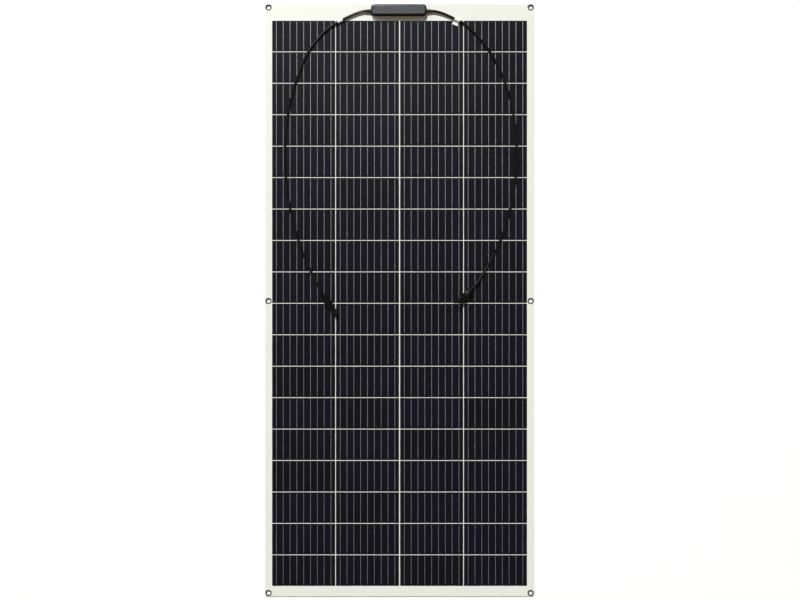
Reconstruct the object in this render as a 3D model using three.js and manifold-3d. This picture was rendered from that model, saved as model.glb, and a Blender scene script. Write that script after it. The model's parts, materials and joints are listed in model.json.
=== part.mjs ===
// Flexible solar sheet: a thin laminate of half-cut cells with eyelets, a slim junction box and two
// leads that end in plug connectors. Millimetres, +Z up. The sheet lies flat on z = 0, centred on the
// origin, with the junction box at the +Y end.

import * as THREE from 'three';
import { mergeVertices } from 'three/addons/utils/BufferGeometryUtils.js';
import Module from 'manifold-3d';

const wasm = await Module();
wasm.setup();

// ---- Driving dimensions ----

const SHEET_WIDTH = 686;
const SHEET_LENGTH = 1510;
const SHEET_CORNER_RADIUS = 5;
const FIT_GAP = 0.3;

// Heights of the layers' upper faces. Each is exact in binary, so that stacked faces share a plane.
const BOARD_TOP = 1.5;
const REAR_ENCAPSULANT_TOP = 1.75;
const CELL_TOP = 2;
const COVER_STRIP_TOP = 2.125;
const FRONT_ENCAPSULANT_TOP = 2.25;
const FILM_TOP = 2.5;

const COLUMNS = 4;
const ROWS = 18;
const CELL_WIDTH = 161;
const CELL_LENGTH = 78.5;
const ROW_GAP = 1.6;
const SIDE_COLUMN_GAP = 1.6;
const CENTRE_COLUMN_GAP = 2.4;
const FIRST_ROW_TOP_Y = 712;
const ROW_PITCH = CELL_LENGTH + ROW_GAP;
const LAST_ROW_BOTTOM_Y = FIRST_ROW_TOP_Y - ROWS * ROW_PITCH + ROW_GAP;
const LINK_WIDTH = 10;

// The sheet bends at two row gaps. The layers are cut there, and each cut is BEND_CUT wide.
const BEND_CUT = 0.5;
const ROWS_PER_SEGMENT = 6;
const UPPER_BEND_Y = bendY(ROWS_PER_SEGMENT);
const LOWER_BEND_Y = bendY(2 * ROWS_PER_SEGMENT);
const SEGMENTS = [
  segment('top', 0, SHEET_LENGTH / 2, UPPER_BEND_Y + BEND_CUT / 2),
  segment('middle', ROWS_PER_SEGMENT, UPPER_BEND_Y - BEND_CUT / 2, LOWER_BEND_Y + BEND_CUT / 2),
  segment('bottom', 2 * ROWS_PER_SEGMENT, LOWER_BEND_Y - BEND_CUT / 2, -SHEET_LENGTH / 2),
];

const EYELET_INSET = 9;
const EYELET_SIDES = 16;
const EYELET_BORE_RADIUS = 5;
const EYELET_BARREL_RADIUS = 5.6;
const EYELET_FLANGE_RADIUS = 8;
const EYELET_REAR_RADIUS = 7.5;
const EYELET_REAR_HEIGHT = 0.5;
const EYELET_TOP = FILM_TOP + 0.6;
const EYELET_RECESS_DEPTH = 0.75;
const EYELET_X = SHEET_WIDTH / 2 - EYELET_INSET;
const EYELET_END_Y = SHEET_LENGTH / 2 - EYELET_INSET;
const EYELET_ROWS = { top: EYELET_END_Y, middle: -2, bottom: -EYELET_END_Y };

const RIBBON_WIDTH = 5;
const RIBBON_CLEARANCE = 4;
const RIBBON_LANE_STEP = 8;
const RIBBON_END_X = 318;
const RIBBON_TURN_X = 171;
const RIBBON_ACROSS_X = 158;
const RIBBON_INNER_X = 8;
const RISER_THICKNESS = 0.5;
const RISER_TOP = 9;
const STRIP_HALF_WIDTH = 322;
const STRIP_MARGIN = 2;

const BOX = { x: -2, y: 737.2, length: 141, width: 27.2, radius: 9, wall: 2.25 };
const PAD_TOP = 3;
const PAD_INSET = 1;
const BASE_FLOOR_TOP = 4.5;
const BASE_TOP = 14.5;
const SEAL_TOP = 15;
const LID_TOP = 18;
const LID_ROUND = 1.5;
const LID_POCKET_TOP = 16.5;
const LID_LIP_BOTTOM = 13.5;
const LID_LIP_THICKNESS = 1.25;
const SEAL_OUTER_INSET = 0.5;
const SEAL_INNER_INSET = 1.75;
const TERMINAL_X = { plus: -42, middle: -2, minus: 38 };
const RISER_Y = 733;
const TERMINAL_FOOT = { halfWidth: 6, depth: 8, height: 1 };
const TERMINAL_TAB = { halfWidth: 3, depth: 1.5 };
const TERMINAL_CLAMP = { halfWidth: 4, depth: 4, height: 4 };
const DIODE = { radius: 2.5, halfLength: 4.8, wireRadius: 0.6, z: 8, setBack: 6 };

const CABLE_RADIUS = 3;
const CABLE_SIDES = 8;
const CABLE_STEP = 18;
const CABLE_BEND_GAP = 3;
const CABLE_EXIT_Y = 735.5;
const CABLE_EXIT_Z = 9;
const CABLE_BORE_RADIUS = 3.8;
const STRAIN_RELIEF_LENGTH = 14;
const STRAIN_RELIEF_RADIUS = 4.6;
const STRAIN_RELIEF_NECK = 3.5;
const STRAIN_RELIEF_FLANGE = { radius: 4.2, thickness: 2.2 };
const LABEL_LENGTH = 15.5;
const LABEL_TAIL = 13.5;
const LABEL_SIDES = 16;
const LABEL_INNER_RADIUS = 3.5;
const LABEL_OUTER_RADIUS = 3.9;

// A connector lies on the sheet. Its axis runs from the cable's end, at angle degrees from +X.
const CONNECTOR_RADIUS = 9;
const CONNECTOR_Z = FILM_TOP + CONNECTOR_RADIUS + FIT_GAP;
const CONNECTORS = {
  left: { x: -192, y: 11, angle: -56 },
  right: { x: 181, y: 26, angle: -131.5 },
};
const NUT_LENGTH = 15;
const NUT_RADIUS = 8;
const NUT_HEX_RADIUS = 8.7;
const STUB_START = 4.3;

// The leads' centrelines, from the strain relief to the connector's stub.
const CABLE_ROUTES = {
  left: [
    [-87, 735.5, 9], [-95, 734.9, 8.9], [-110, 729.8, 8.6], [-125, 723, 8.1], [-141, 715.9, 7.5],
    [-164, 703.5, 6.9], [-185, 688.5, 6.4], [-206, 667.5, 6], [-233, 631.5, 5.8], [-265.5, 551, 5.8],
    [-285, 470, 5.8], [-291.7, 389, 5.8], [-289.5, 309, 5.8], [-277.8, 229, 5.8], [-256.3, 149, 5.8],
    [-237.5, 98, 6.4], [-220, 62, 8.6], [-207.5, 36.5, 11], [-203.2, 27.6, 11.7], [-192, 11, 11.8],
    [-189.8, 7.7, 11.8],
  ],
  right: [
    [83, 735.5, 9], [91, 734.9, 8.9], [106, 730.2, 8.6], [120, 724.9, 8.2], [131, 720, 7.7],
    [140, 716, 7.3], [161.5, 705, 6.8], [184, 686, 6.3], [209.5, 659, 5.9], [232, 628.5, 5.8],
    [270, 551, 5.8], [290, 470, 5.8], [298, 389, 5.8], [295, 309, 5.8], [280.8, 228.3, 5.8],
    [255, 149, 5.8], [235, 105, 6.4], [213.5, 70, 8.8], [200.5, 49, 11.2], [194.2, 41, 11.7],
    [181, 26, 11.8], [178.3, 23, 11.8],
  ],
};
const LABEL_STATIONS = { left: 4.45, right: 5.33 };

// ---- Materials ----

const MATERIALS = {
  board: material('#f0f1e9', 0.6),
  encapsulant: material('#dfe4e6', 0.3),
  film: material('#e8ecee', 0.35),
  cell: material('#14161d', 0.3),
  ribbon: material('#b9bcc0', 0.3, 1),
  coverStrip: material('#f2f2ea', 0.6),
  eyelet: material('#55534d', 0.3, 1),
  pad: material('#1c1c1c', 0.8),
  boxPlastic: material('#17181a', 0.3),
  rubber: material('#121212', 0.8),
  brass: material('#b08d4a', 0.35, 1),
  diode: material('#222222', 0.4),
  cable: material('#0c0c0d', 0.5),
  label: material('#f4f4f0', 0.7),
  connector: material('#131415', 0.45),
  contact: material('#c8c9c6', 0.25, 1),
};

function material(color, roughness, metalness = 0) {
  return new THREE.MeshStandardMaterial({ color, roughness, metalness });
}

// ---- Solid helpers ----

/** A manifold solid from a closed three.js geometry. */
function solid(geometry) {
  geometry.deleteAttribute('normal');
  geometry.deleteAttribute('uv');
  const merged = mergeVertices(geometry, 1e-4);
  const vertProperties = new Float32Array(merged.attributes.position.array);
  const triVerts = new Uint32Array(merged.index.array);
  return new wasm.Manifold(new wasm.Mesh({ numProp: 3, vertProperties, triVerts }));
}

/** A three.js geometry from a manifold solid. */
function geometryOf(body) {
  const mesh = body.getMesh();
  const geometry = new THREE.BufferGeometry();
  geometry.setAttribute('position', new THREE.BufferAttribute(new Float32Array(mesh.vertProperties), 3));
  geometry.setIndex(new THREE.BufferAttribute(new Uint32Array(mesh.triVerts), 1));
  geometry.computeVertexNormals();
  return geometry;
}

/** The solid between z0 and z1 above a flat shape. */
function prism(shape, z0, z1, curveSegments = 2) {
  const geometry = new THREE.ExtrudeGeometry(shape, { depth: z1 - z0, bevelEnabled: false, curveSegments });
  geometry.translate(0, 0, z0);
  return solid(geometry);
}

/** A box from its low and high corners. */
function block(low, high) {
  const size = high.map((value, i) => value - low[i]);
  const geometry = new THREE.BoxGeometry(...size);
  geometry.translate(...low.map((value, i) => value + size[i] / 2));
  return solid(geometry);
}

/** A solid of revolution about Z. The profile is a closed loop of [radius, height] points. */
function turned(profile, segments = 16) {
  const loop = [...profile, profile[0]];
  const geometry = new THREE.LatheGeometry(loop.map(([r, h]) => new THREE.Vector2(r, h)), segments);
  geometry.rotateX(Math.PI / 2);
  let body = solid(geometry);
  if (body.volume() < 0) {
    geometry.index.array.reverse();
    body = solid(geometry);
  }
  return body;
}

/** A solid of revolution about X. The profile is a closed loop of [radius, distance along X] points. */
function turnedAlongX(profile, segments = 16) {
  return turned(profile, segments).rotate([0, 90, 0]);
}

function union(...bodies) {
  return bodies.reduce((sum, body) => sum.add(body));
}

function cut(body, ...tools) {
  return tools.reduce((rest, tool) => rest.subtract(tool), body);
}

const sheet = new THREE.Group();

/** Adds a named mesh for one sub-part. */
function piece(name, body, materialName, parent = sheet) {
  const geometry = body.isBufferGeometry ? body : geometryOf(body);
  const mesh = new THREE.Mesh(geometry, MATERIALS[materialName]);
  mesh.name = name;
  parent.add(mesh);
  return mesh;
}

// ---- Flat outlines ----

function bendY(rowsAbove) {
  return FIRST_ROW_TOP_Y - rowsAbove * ROW_PITCH + ROW_GAP / 2;
}

function segment(name, firstRow, top, bottom) {
  return { name, firstRow, lastRow: firstRow + ROWS_PER_SEGMENT - 1, top, bottom };
}

function roundedRectangle(centreX, centreY, length, width, radius) {
  const x = length / 2 - radius;
  const y = width / 2 - radius;
  const shape = new THREE.Shape();
  shape.absarc(centreX + x, centreY + y, radius, 0, Math.PI / 2);
  shape.absarc(centreX - x, centreY + y, radius, Math.PI / 2, Math.PI);
  shape.absarc(centreX - x, centreY - y, radius, Math.PI, Math.PI * 1.5);
  shape.absarc(centreX + x, centreY - y, radius, Math.PI * 1.5, Math.PI * 2);
  return shape;
}

/** The corners of a regular polygon whose circumradius is the given radius. */
function polygon(x, y, radius, sides) {
  return Array.from({ length: sides }, (_, i) => {
    const angle = (i / sides) * Math.PI * 2;
    return new THREE.Vector2(x + radius * Math.cos(angle), y + radius * Math.sin(angle));
  });
}

/** One layer of a segment of the sheet, with its eyelet holes and the sheet's own rounded corners. */
function layerBody({ top, bottom }, holeRadius, z0, z1) {
  const whole = roundedRectangle(0, 0, SHEET_WIDTH, SHEET_LENGTH, SHEET_CORNER_RADIUS);
  for (const x of [-EYELET_X, EYELET_X]) {
    for (const y of Object.values(EYELET_ROWS)) {
      whole.holes.push(new THREE.Path(polygon(x, y, holeRadius, EYELET_SIDES)));
    }
  }
  return prism(whole, z0, z1).intersect(block([-SHEET_WIDTH, bottom, z0], [SHEET_WIDTH, top, z1]));
}

/** Middle of a column of cells. */
function columnMiddle(column) {
  const side = column < COLUMNS / 2 ? -1 : 1;
  const fromCentre = side < 0 ? COLUMNS / 2 - 1 - column : column - COLUMNS / 2;
  return side * ((CENTRE_COLUMN_GAP + CELL_WIDTH) / 2 + fromCentre * (CELL_WIDTH + SIDE_COLUMN_GAP));
}

function rowTop(row) {
  return FIRST_ROW_TOP_Y - row * ROW_PITCH;
}

/** The half-cells of one column in one segment, joined by a strap across each row gap, grown by margin. */
function stringBody(column, { name, firstRow, lastRow }, margin, z0, z1) {
  const middle = columnMiddle(column);
  const wide = CELL_WIDTH / 2 + margin;
  const narrow = LINK_WIDTH / 2 + margin;
  const side = [];
  for (let row = firstRow; row <= lastRow; row += 1) {
    const top = rowTop(row) + margin;
    const bottom = rowTop(row) - CELL_LENGTH - margin;
    side.push([narrow, top], [wide, top], [wide, bottom], [narrow, bottom]);
  }
  if (name === 'top') {
    side.unshift([narrow, FIRST_ROW_TOP_Y + RIBBON_CLEARANCE - FIT_GAP]);
  } else {
    side.shift();
  }
  if (name === 'bottom') {
    side.push([narrow, LAST_ROW_BOTTOM_Y - RIBBON_CLEARANCE + FIT_GAP]);
  } else {
    side.pop();
  }
  const right = side.map(([x, y]) => new THREE.Vector2(middle + x, y));
  const left = side.map(([x, y]) => new THREE.Vector2(middle - x, y)).reverse();
  return prism(new THREE.Shape([...right, ...left]), z0, z1);
}

// ---- Bus ribbons and the strips that hide them ----

const LANE_A = FIRST_ROW_TOP_Y + RIBBON_CLEARANCE;
const LANE_B = LANE_A + RIBBON_LANE_STEP;
const BOTTOM_LANE = LAST_ROW_BOTTOM_Y - RIBBON_CLEARANCE - RIBBON_WIDTH;

function ribbonRun(x0, y0, x1, y1, margin = 0) {
  const low = [x0 - margin, y0 - margin, REAR_ENCAPSULANT_TOP];
  return block(low, [x1 + margin, y1 + margin, CELL_TOP]);
}

/** The tongue that leads a ribbon to its riser, and the riser that stands up into the box. */
function tongueAndRiser(x, fromY, margin = 0) {
  const half = RIBBON_WIDTH / 2;
  const tongue = ribbonRun(x - half, fromY, x + half, RISER_Y, margin);
  return margin ? tongue : tongue.add(riser(x, REAR_ENCAPSULANT_TOP, RISER_TOP));
}

function riser(x, z0, z1, margin = 0) {
  const half = RIBBON_WIDTH / 2 + margin;
  return block([x - half, RISER_Y - RISER_THICKNESS - margin, z0], [x + half, RISER_Y + margin, z1]);
}

/** An outgoing ribbon: it gathers one outer string, steps to the second lane, and runs to the box. */
function outgoingRibbon(side, x) {
  const outer = side * RIBBON_END_X;
  const turn = side * RIBBON_TURN_X;
  const turnInner = side * (RIBBON_TURN_X - RIBBON_WIDTH);
  const boxEnd = x - side * RIBBON_WIDTH / 2;
  const span = (a, b, y0, y1) => ribbonRun(Math.min(a, b), y0, Math.max(a, b), y1);
  return union(
    span(outer, turnInner, LANE_A, LANE_A + RIBBON_WIDTH),
    span(turn, turnInner, LANE_A, LANE_B + RIBBON_WIDTH),
    span(turn, boxEnd, LANE_B, LANE_B + RIBBON_WIDTH),
    tongueAndRiser(x, LANE_B),
  );
}

function addRibbons() {
  piece('bus_ribbon_plus', outgoingRibbon(-1, TERMINAL_X.plus), 'ribbon');
  piece('bus_ribbon_minus', outgoingRibbon(1, TERMINAL_X.minus), 'ribbon');
  const across = ribbonRun(-RIBBON_ACROSS_X, LANE_A, RIBBON_ACROSS_X, LANE_A + RIBBON_WIDTH);
  piece('bus_ribbon_middle', across.add(tongueAndRiser(TERMINAL_X.middle, LANE_A)), 'ribbon');
  const bottomTop = BOTTOM_LANE + RIBBON_WIDTH;
  const bottomLeft = ribbonRun(-RIBBON_END_X, BOTTOM_LANE, -RIBBON_INNER_X, bottomTop);
  const bottomRight = ribbonRun(RIBBON_INNER_X, BOTTOM_LANE, RIBBON_END_X, bottomTop);
  piece('bus_ribbon_bottom_left', bottomLeft, 'ribbon');
  piece('bus_ribbon_bottom_right', bottomRight, 'ribbon');
}

const STRIPS = {
  top: { bottom: LANE_A - STRIP_MARGIN, top: LANE_B + RIBBON_WIDTH + 1 },
  bottom: { bottom: BOTTOM_LANE - STRIP_MARGIN, top: BOTTOM_LANE + RIBBON_WIDTH + STRIP_MARGIN },
};

function stripBody(strip, margin, z0, z1) {
  const half = STRIP_HALF_WIDTH + margin;
  return block([-half, strip.bottom - margin, z0], [half, strip.top + margin, z1]);
}

// ---- Laminate ----

const BARREL_HOLE = EYELET_BARREL_RADIUS + FIT_GAP;

function addLaminate() {
  for (const part of SEGMENTS) {
    piece(`rear_board_${part.name}`, rearBoard(part), 'board');
    const rearLayer = layerBody(part, BARREL_HOLE, BOARD_TOP, REAR_ENCAPSULANT_TOP);
    piece(`rear_encapsulant_${part.name}`, rearLayer, 'encapsulant');
    for (let column = 0; column < COLUMNS; column += 1) {
      const cells = stringBody(column, part, 0, REAR_ENCAPSULANT_TOP, CELL_TOP);
      piece(`cell_string_${column + 1}_${part.name}`, cells, 'cell');
    }
    piece(`front_encapsulant_${part.name}`, frontEncapsulant(part), 'encapsulant');
    piece(`front_film_${part.name}`, frontFilm(part), 'film');
  }
  for (const [end, strip] of Object.entries(STRIPS)) {
    piece(`cover_strip_${end}`, stripBody(strip, 0, CELL_TOP, COVER_STRIP_TOP), 'coverStrip');
  }
}

/** The board, recessed round each eyelet so that its rear flange lies flush. */
function rearBoard(part) {
  const recessed = layerBody(part, EYELET_REAR_RADIUS + FIT_GAP, 0, EYELET_RECESS_DEPTH);
  return recessed.add(layerBody(part, BARREL_HOLE, EYELET_RECESS_DEPTH, BOARD_TOP));
}

/** The layer over the cells, with a pocket for each string, for the ribbons and for their strip. */
function frontEncapsulant(part) {
  const pocketBottom = 1;
  const tools = [];
  for (let column = 0; column < COLUMNS; column += 1) {
    tools.push(stringBody(column, part, FIT_GAP, pocketBottom, CELL_TOP));
  }
  if (part.name in STRIPS) {
    tools.push(stripBody(STRIPS[part.name], FIT_GAP, pocketBottom, COVER_STRIP_TOP));
  }
  if (part.name === 'top') {
    for (const x of Object.values(TERMINAL_X)) {
      tools.push(tongueAndRiser(x, LANE_A, FIT_GAP), riser(x, pocketBottom, FILM_TOP, FIT_GAP));
    }
  }
  return cut(layerBody(part, BARREL_HOLE, REAR_ENCAPSULANT_TOP, FRONT_ENCAPSULANT_TOP), ...tools);
}

function frontFilm(part) {
  const film = layerBody(part, BARREL_HOLE, FRONT_ENCAPSULANT_TOP, FILM_TOP);
  return part.name === 'top' ? cut(film, ...riserSlots(CELL_TOP, PAD_TOP)) : film;
}

function riserSlots(z0, z1) {
  return Object.values(TERMINAL_X).map((x) => riser(x, z0, z1, FIT_GAP));
}

// ---- Eyelets ----

/** A rolled eyelet: the rear flange lies flush in the board, the front flange on the film. */
function eyeletBody() {
  return turned([
    [EYELET_BORE_RADIUS, 0.25], [EYELET_BORE_RADIUS + 0.25, 0],
    [EYELET_REAR_RADIUS, 0], [EYELET_REAR_RADIUS, EYELET_REAR_HEIGHT],
    [EYELET_BARREL_RADIUS, EYELET_REAR_HEIGHT], [EYELET_BARREL_RADIUS, FILM_TOP],
    [EYELET_FLANGE_RADIUS, FILM_TOP], [EYELET_FLANGE_RADIUS, FILM_TOP + 0.25],
    [EYELET_FLANGE_RADIUS - 0.5, EYELET_TOP], [EYELET_BORE_RADIUS + 0.8, EYELET_TOP],
    [EYELET_BORE_RADIUS, FILM_TOP + 0.1],
  ], EYELET_SIDES);
}

function addEyelets() {
  for (const [row, y] of Object.entries(EYELET_ROWS)) {
    for (const [side, x] of [['left', -EYELET_X], ['right', EYELET_X]]) {
      piece(`eyelet_${row}_${side}`, eyeletBody().translate([x, y, 0]), 'eyelet');
    }
  }
}

// ---- Junction box ----

function boxOutline(inset) {
  const { x, y, length, width, radius } = BOX;
  return roundedRectangle(x, y, length - 2 * inset, width - 2 * inset, radius - inset);
}

function addJunctionBox() {
  const slots = riserSlots(CELL_TOP, BASE_FLOOR_TOP + 1);
  const pad = cut(prism(boxOutline(PAD_INSET), FILM_TOP, PAD_TOP), ...slots);
  piece('junction_box_pad', pad, 'pad');

  const outside = prism(boxOutline(0), PAD_TOP, BASE_TOP);
  const hollow = prism(boxOutline(BOX.wall), BASE_FLOOR_TOP, LID_TOP);
  piece('junction_box_base', cut(outside, hollow, ...slots, cableBore()), 'boxPlastic');

  const ring = prism(boxOutline(SEAL_OUTER_INSET), BASE_TOP, SEAL_TOP);
  const ringHole = prism(boxOutline(SEAL_INNER_INSET), BASE_TOP - 1, SEAL_TOP + 1);
  piece('junction_box_seal', cut(ring, ringHole), 'rubber');
  piece('junction_box_lid', lidBody(), 'boxPlastic');
  addBoxContents();
}

/** The hole through both end walls that the strain reliefs fill. */
function cableBore() {
  const { length } = BOX;
  const profile = [[0, -length], [CABLE_BORE_RADIUS, -length], [CABLE_BORE_RADIUS, length], [0, length]];
  return turnedAlongX(profile).translate([BOX.x, CABLE_EXIT_Y, CABLE_EXIT_Z]);
}

/** A shallow lid with rounded upper edges and a lip that drops inside the base's wall. */
function lidBody() {
  const lowRound = new THREE.ExtrudeGeometry(boxOutline(LID_ROUND), {
    depth: LID_TOP - SEAL_TOP - LID_ROUND,
    bevelThickness: LID_ROUND,
    bevelSize: LID_ROUND,
    bevelSegments: 2,
    curveSegments: 2,
  });
  lowRound.translate(0, 0, SEAL_TOP);
  const aboveSeal = block([-SHEET_WIDTH, 0, SEAL_TOP], [SHEET_WIDTH, SHEET_LENGTH, LID_TOP + 1]);
  const cap = solid(lowRound).intersect(aboveSeal);
  const lipInset = BOX.wall + FIT_GAP;
  const lip = prism(boxOutline(lipInset), LID_LIP_BOTTOM, SEAL_TOP + 1);
  const hollow = prism(boxOutline(lipInset + LID_LIP_THICKNESS), LID_LIP_BOTTOM - 1, LID_POCKET_TOP);
  return cut(cap.add(lip), hollow);
}

/** Terminals stand behind the risers, with a diode between each two, and a strain relief in each end. */
function addBoxContents() {
  const front = RISER_Y + FIT_GAP;
  for (const [name, x] of Object.entries(TERMINAL_X)) {
    piece(`terminal_${name}`, terminalBody().translate([x, front, BASE_FLOOR_TOP]), 'brass');
  }
  const halfPitch = (TERMINAL_X.middle - TERMINAL_X.plus) / 2;
  for (const [side, direction] of [['left', -1], ['right', 1]]) {
    const x = BOX.x + direction * halfPitch;
    const diode = diodeBody(halfPitch - TERMINAL_FOOT.halfWidth - FIT_GAP);
    piece(`bypass_diode_${side}`, diode.translate([x, front + DIODE.setBack, DIODE.z]), 'diode');
    const relief = strainRelief().rotate([0, 0, direction < 0 ? 180 : 0]);
    const wallX = BOX.x + direction * BOX.length / 2;
    piece(`strain_relief_${side}`, relief.translate([wallX, CABLE_EXIT_Y, CABLE_EXIT_Z]), 'rubber');
  }
}

/** A foot on the box's floor, a tab that the riser is soldered to, and the clamp for the lead. */
function terminalBody() {
  const slab = (halfWidth, y0, y1, height) => block([-halfWidth, y0, 0], [halfWidth, y1, height]);
  const { depth } = TERMINAL_FOOT;
  return union(
    slab(TERMINAL_FOOT.halfWidth, 0, depth, TERMINAL_FOOT.height),
    slab(TERMINAL_TAB.halfWidth, 0, TERMINAL_TAB.depth, RISER_TOP - BASE_FLOOR_TOP),
    slab(TERMINAL_CLAMP.halfWidth, depth - TERMINAL_CLAMP.depth, depth, TERMINAL_CLAMP.height),
  );
}

/** A diode whose wires reach that far each way from its middle. */
function diodeBody(reach) {
  const { radius, halfLength, wireRadius } = DIODE;
  return turnedAlongX([
    [0, -reach], [wireRadius, -reach], [wireRadius, -halfLength], [radius, -halfLength],
    [radius, halfLength], [wireRadius, halfLength], [wireRadius, reach], [0, reach],
  ], 12);
}

/** A tapered plug: its neck fills the end wall's hole, and its flange holds behind the wall. */
function strainRelief() {
  const inner = -BOX.wall - FIT_GAP;
  const { radius, thickness } = STRAIN_RELIEF_FLANGE;
  return turnedAlongX([
    [0, inner - thickness], [radius, inner - thickness], [radius, inner], [STRAIN_RELIEF_NECK, inner],
    [STRAIN_RELIEF_NECK, FIT_GAP], [STRAIN_RELIEF_RADIUS, FIT_GAP], [STRAIN_RELIEF_RADIUS, 2],
    [STRAIN_RELIEF_NECK, STRAIN_RELIEF_LENGTH], [0, STRAIN_RELIEF_LENGTH],
  ]);
}

// ---- Leads ----

/** The stretch of a curve between two shares of its length. */
class Stretch extends THREE.Curve {
  constructor(curve, from, to) {
    super();
    this.curve = curve;
    this.from = from;
    this.to = to;
  }

  getPoint(t, target = new THREE.Vector3()) {
    return this.curve.getPointAt(this.from + (this.to - this.from) * t, target);
  }
}

/** The share of the curve's length at which it has come down to the given y. */
function shareAtY(curve, y) {
  let low = 0;
  let high = 1;
  for (let i = 0; i < 40; i += 1) {
    const middle = (low + high) / 2;
    if (curve.getPointAt(middle).y > y) {
      low = middle;
    } else {
      high = middle;
    }
  }
  return low;
}

function tube(curve) {
  const section = new THREE.Shape(polygon(0, 0, CABLE_RADIUS, CABLE_SIDES));
  const steps = Math.ceil(curve.getLength() / CABLE_STEP);
  return new THREE.ExtrudeGeometry(section, { steps, bevelEnabled: false, extrudePath: curve });
}

/** A flag label: a sleeve round the cable, with a tail that lies to the cable's right. */
function labelBody() {
  const half = LABEL_LENGTH / 2;
  const round = (radius) => new THREE.Shape(polygon(0, 0, radius, LABEL_SIDES));
  const sleeve = prism(round(LABEL_OUTER_RADIUS), -half, half);
  const bore = prism(round(LABEL_INNER_RADIUS), -half - 1, half + 1);
  const tailHeight = LABEL_OUTER_RADIUS - LABEL_INNER_RADIUS;
  const tail = block([-LABEL_TAIL, -LABEL_OUTER_RADIUS, -half], [0, tailHeight - LABEL_OUTER_RADIUS, half]);
  return cut(sleeve.add(tail), bore).rotate([90, 0, 90]);
}

function addLead(side) {
  const points = CABLE_ROUTES[side].map((p) => new THREE.Vector3(...p));
  const curve = new THREE.CatmullRomCurve3(points, false, 'centripetal');
  curve.arcLengthDivisions = 800;
  const upperEnd = shareAtY(curve, UPPER_BEND_Y + CABLE_BEND_GAP / 2);
  const lowerStart = shareAtY(curve, UPPER_BEND_Y - CABLE_BEND_GAP / 2);
  piece(`cable_${side}_upper`, tube(new Stretch(curve, 0, upperEnd)), 'cable');
  piece(`cable_${side}_lower`, tube(new Stretch(curve, lowerStart, 1)), 'cable');

  const station = LABEL_STATIONS[side] / (points.length - 1);
  const at = curve.getPoint(station);
  const along = curve.getTangent(station);
  const label = new THREE.Group();
  label.position.copy(at);
  label.rotation.z = Math.atan2(along.y, along.x);
  sheet.add(label);
  piece(`cable_label_${side}`, labelBody(), 'label', label);
}

// ---- Connectors ----

// The start of either housing's profile: the stub inside the nut, and the collar in front of it.
const COLLAR = [
  [0, STUB_START], [5.9, STUB_START], [5.9, NUT_LENGTH + 0.5], [8.8, NUT_LENGTH + 0.5],
  [CONNECTOR_RADIUS, NUT_LENGTH + 2], [CONNECTOR_RADIUS, NUT_LENGTH + 6],
];

/** The cable nut: a hexagonal cap whose corners are rounded, hollow over the housing's stub. */
function nutBody() {
  const cap = turnedAlongX([
    [0, 0], [6.6, 0], [NUT_RADIUS, 1.5], [NUT_RADIUS, NUT_LENGTH], [0, NUT_LENGTH],
  ], 18);
  const hexagon = new THREE.CylinderGeometry(NUT_HEX_RADIUS, NUT_HEX_RADIUS, 4 * NUT_LENGTH, 6);
  hexagon.rotateZ(Math.PI / 2);
  const bore = turnedAlongX([
    [0, -1], [3.6, -1], [3.6, 3], [6.3, 3], [6.3, NUT_LENGTH + 1], [0, NUT_LENGTH + 1],
  ]);
  return cut(cap.intersect(solid(hexagon)), bore);
}

/** The housing without latch arms: a stepped barrel and a nose that holds the socket contact. */
function noseHousing() {
  const barrel = turnedAlongX([
    ...COLLAR, [8.2, 22], [8.2, 38], [6.2, 39], [6.2, 58], [5.8, 59], [0, 59],
  ]);
  const bore = turnedAlongX([[0, 40], [2, 40], [2, 60], [0, 60]], 12);
  return cut(barrel, bore);
}

/** The housing with two latch arms beside its mouth, and a core that holds the pin contact. */
function forkHousing() {
  const barrel = turnedAlongX([...COLLAR, [8.4, 22], [8.4, 38], [7.9, 39], [0, 39]]);
  const mouth = turnedAlongX([[4.2, 27], [6.6, 27], [6.6, 40], [4.2, 40]]);
  const core = turnedAlongX([[0, 30], [2, 30], [2, 40], [0, 40]], 12);
  const arms = [-1, 1].map((side) => armShape(side)).map((shape) => prism(shape, -2.4, 2.4));
  return union(cut(barrel, mouth, core), ...arms);
}

/** One latch arm in plan, with its barb turned outward. */
function armShape(side) {
  const outline = [[36, 6.9], [55, 6.4], [56, 6.9], [52, 8.9], [50.5, 8.9], [50.5, 8.2], [36, 8.2]];
  return new THREE.Shape(outline.map(([x, y]) => new THREE.Vector2(x, side * y)));
}

function contactBody(from, to) {
  return turnedAlongX([[0, from], [1.6, from], [1.6, to - 1], [1, to], [0, to]], 12);
}

function addConnector(side, housing, contact) {
  const { x, y, angle } = CONNECTORS[side];
  const group = new THREE.Group();
  group.position.set(x, y, CONNECTOR_Z);
  group.rotation.z = THREE.MathUtils.degToRad(angle);
  sheet.add(group);
  piece(`connector_${side}_nut`, nutBody(), 'connector', group);
  piece(`connector_${side}_housing`, housing, 'connector', group);
  piece(`connector_${side}_contact`, contact, 'contact', group);
}

addLaminate();
addRibbons();
addEyelets();
addJunctionBox();
addLead('left');
addLead('right');
addConnector('left', noseHousing(), contactBody(40.3, 57));
addConnector('right', forkHousing(), contactBody(30.3, 38));

export default sheet;
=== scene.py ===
import json
import math
import random

import bmesh
import bpy
from mathutils import Matrix, Vector


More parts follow.
